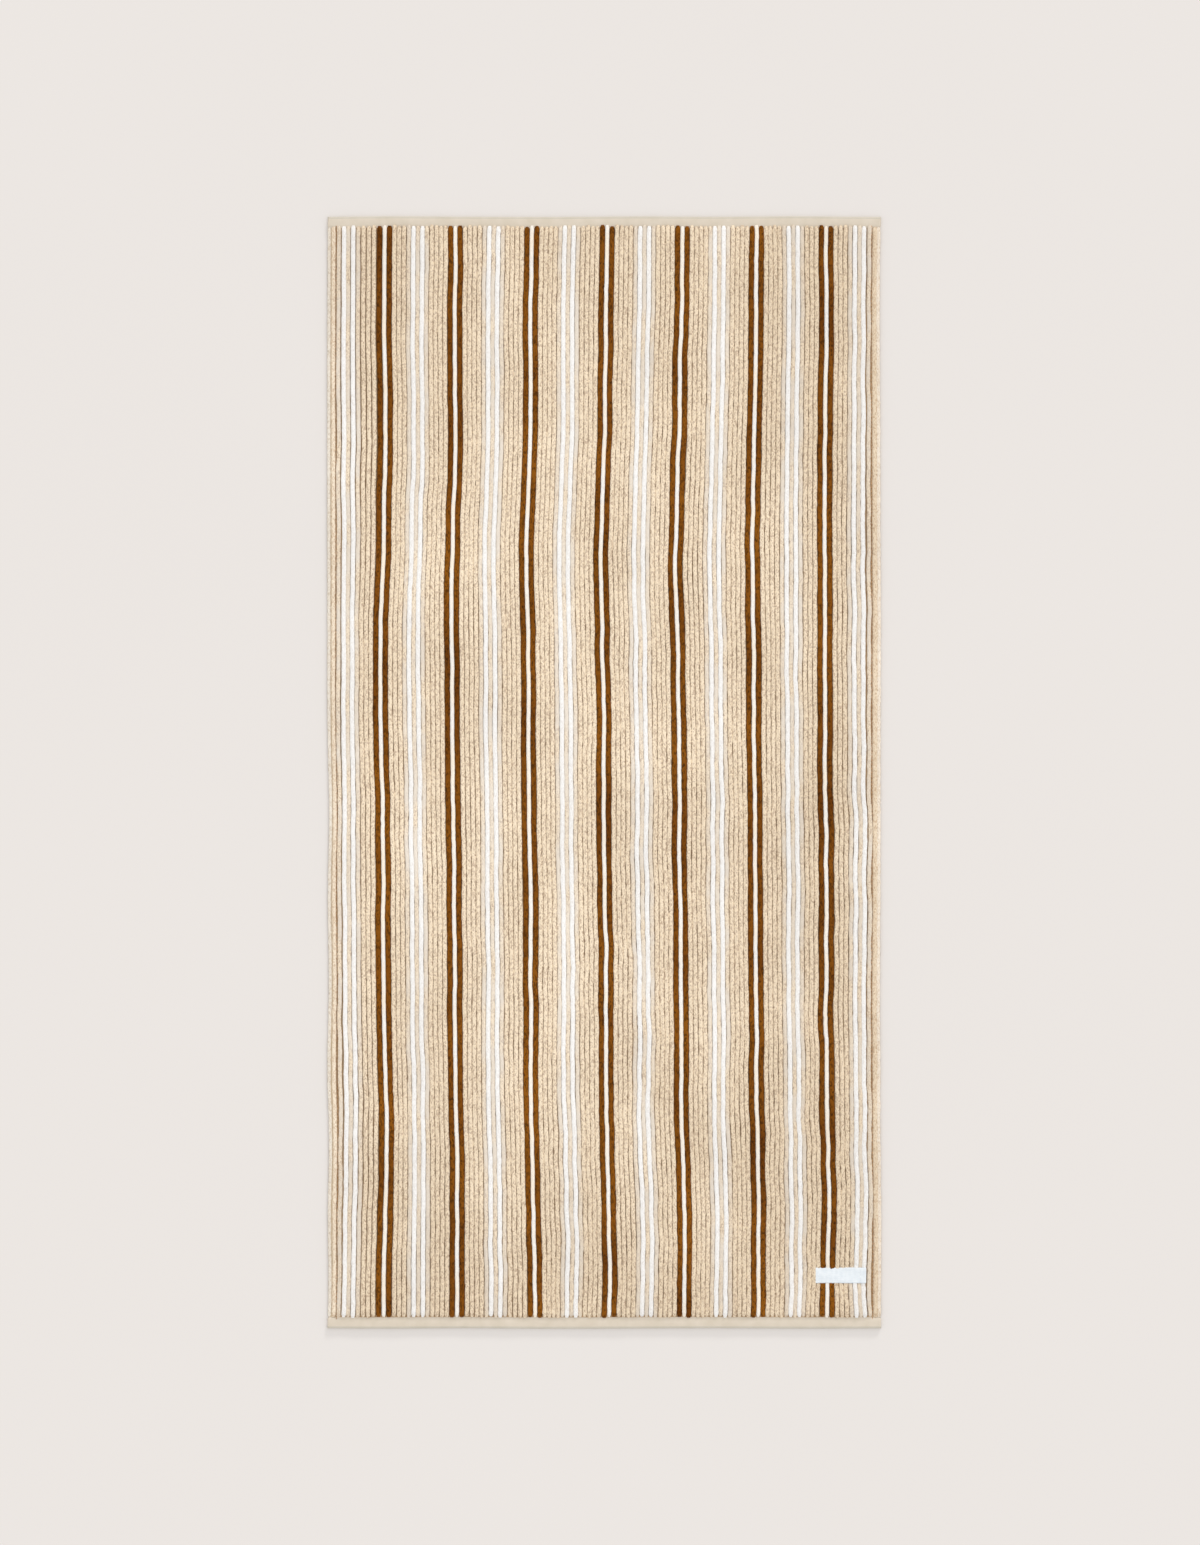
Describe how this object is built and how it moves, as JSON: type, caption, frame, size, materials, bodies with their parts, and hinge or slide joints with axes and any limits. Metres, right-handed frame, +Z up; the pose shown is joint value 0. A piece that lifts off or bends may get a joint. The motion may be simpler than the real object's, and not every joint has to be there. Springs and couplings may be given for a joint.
{
  "type": "terry hand towel",
  "caption": "Ribbed cotton terry hand towel lying flat, with lengthwise brown and white stripes on beige, flat end hems, turned side hems and a small blank woven label.",
  "frame": {"origin": "under the centre of the towel, on the surface that it lies on", "axes": "+X across the towel, towards the long edge that the label is near; +Y along it, away from the end that the label is near; +Z up, out of the face that shows"},
  "size_m": [0.4982, 0.9998, 0.0057],
  "materials": {
    "terry_cotton": "matt ribbed cotton terry, beige with narrow brown and white lengthwise ribs, cream flat-woven end hems",
    "label_weave": "smooth white woven tape with a slight satin sheen, blank"
  },
  "bodies": {
    "root": {"towel": "terry_cotton", "label": "label_weave"}
  },
  "joints": []
}
